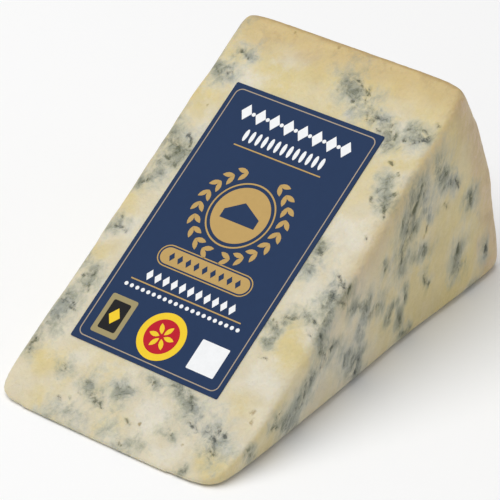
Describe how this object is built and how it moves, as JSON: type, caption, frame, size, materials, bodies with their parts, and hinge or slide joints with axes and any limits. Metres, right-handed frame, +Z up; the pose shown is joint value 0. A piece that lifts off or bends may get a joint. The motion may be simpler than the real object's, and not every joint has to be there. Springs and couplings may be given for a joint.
{
  "type": "blue cheese wedge",
  "caption": "Wedge cut from a round of blue-veined cheese, lying on one cut face, with a rind at its thick end and a paper label on top.",
  "frame": {"origin": "on the table, under the middle of the wedge's bounding box", "axes": "+Z up, +X from the thin end to the rind, -Y out of the flat end of the round that faces the viewer"},
  "size_m": [0.0987, 0.0588, 0.0492],
  "materials": {
    "cheese": "moist ivory paste with blue-green veins, and a rough brown-grey rind on the arc",
    "label": "navy printed paper with a slight gloss"
  },
  "bodies": {
    "root": {"cheese": "cheese", "label": "label"}
  },
  "joints": []
}
